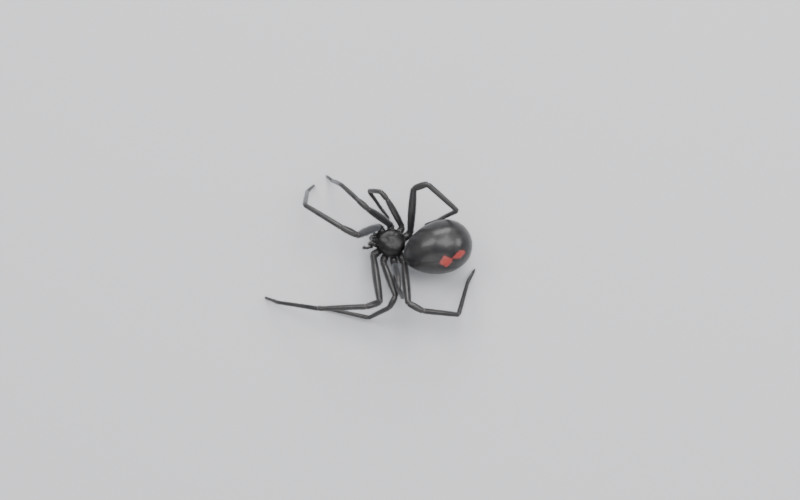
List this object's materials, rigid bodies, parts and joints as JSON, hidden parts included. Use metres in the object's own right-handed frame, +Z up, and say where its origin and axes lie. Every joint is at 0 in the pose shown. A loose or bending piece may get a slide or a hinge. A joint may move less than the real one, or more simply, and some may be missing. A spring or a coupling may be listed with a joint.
{
  "type": "black widow spider",
  "caption": "Still life-size model of a glossy black adult female black widow spider standing on splayed, bent legs, with a round abdomen carrying red marks.",
  "frame": {"origin": "centre of the footprint's bounding box, at the level that the feet stand on", "axes": "+X from the head towards the rear along the longest extent, +Y towards the spider's right, +Z up along the shortest extent"},
  "size_m": [0.0238, 0.0174, 0.0086],
  "materials": {
    "shell": "glossy black shell of the head and thorax",
    "abdomen": "glossy black skin with red marks",
    "legs": "glossy black, softened by short hairs",
    "underside": "satin dark brown",
    "eyes": "clear polished lens",
    "claws": "dark red-brown horn",
    "hairs": "fine dark hairs"
  },
  "bodies": {
    "root": {"carapace": "shell", "sternum": "underside", "pedicel": "underside", "abdomen": "abdomen", "spinnerets": "underside", "chelicera_l": "shell", "palp_l": "legs", "chelicera_r": "shell", "palp_r": "legs", "leg_l1_coxa": "legs", "leg_l1_femur": "legs", "leg_l1_patella": "legs", "leg_l1_tibia": "legs", "leg_l1_metatarsus": "legs", "leg_l1_tarsus": "legs", "leg_l2_coxa": "legs", "leg_l2_femur": "legs", "leg_l2_patella": "legs", "leg_l2_tibia": "legs", "leg_l2_metatarsus": "legs", "leg_l2_tarsus": "legs", "leg_l3_coxa": "legs", "leg_l3_femur": "legs", "leg_l3_patella": "legs", "leg_l3_tibia": "legs", "leg_l3_metatarsus": "legs", "leg_l3_tarsus": "legs", "leg_l4_coxa": "legs", "leg_l4_femur": "legs", "leg_l4_patella": "legs", "leg_l4_tibia": "legs", "leg_l4_metatarsus": "legs", "leg_l4_tarsus": "legs", "leg_r1_coxa": "legs", "leg_r1_femur": "legs", "leg_r1_patella": "legs", "leg_r1_tibia": "legs", "leg_r1_metatarsus": "legs", "leg_r1_tarsus": "legs", "leg_r2_coxa": "legs", "leg_r2_femur": "legs", "leg_r2_patella": "legs", "leg_r2_tibia": "legs", "leg_r2_metatarsus": "legs", "leg_r2_tarsus": "legs", "leg_r3_coxa": "legs", "leg_r3_femur": "legs", "leg_r3_patella": "legs", "leg_r3_tibia": "legs", "leg_r3_metatarsus": "legs", "leg_r3_tarsus": "legs", "leg_r4_coxa": "legs", "leg_r4_femur": "legs", "leg_r4_patella": "legs", "leg_r4_tibia": "legs", "leg_r4_metatarsus": "legs", "leg_r4_tarsus": "legs"}
  },
  "joints": []
}
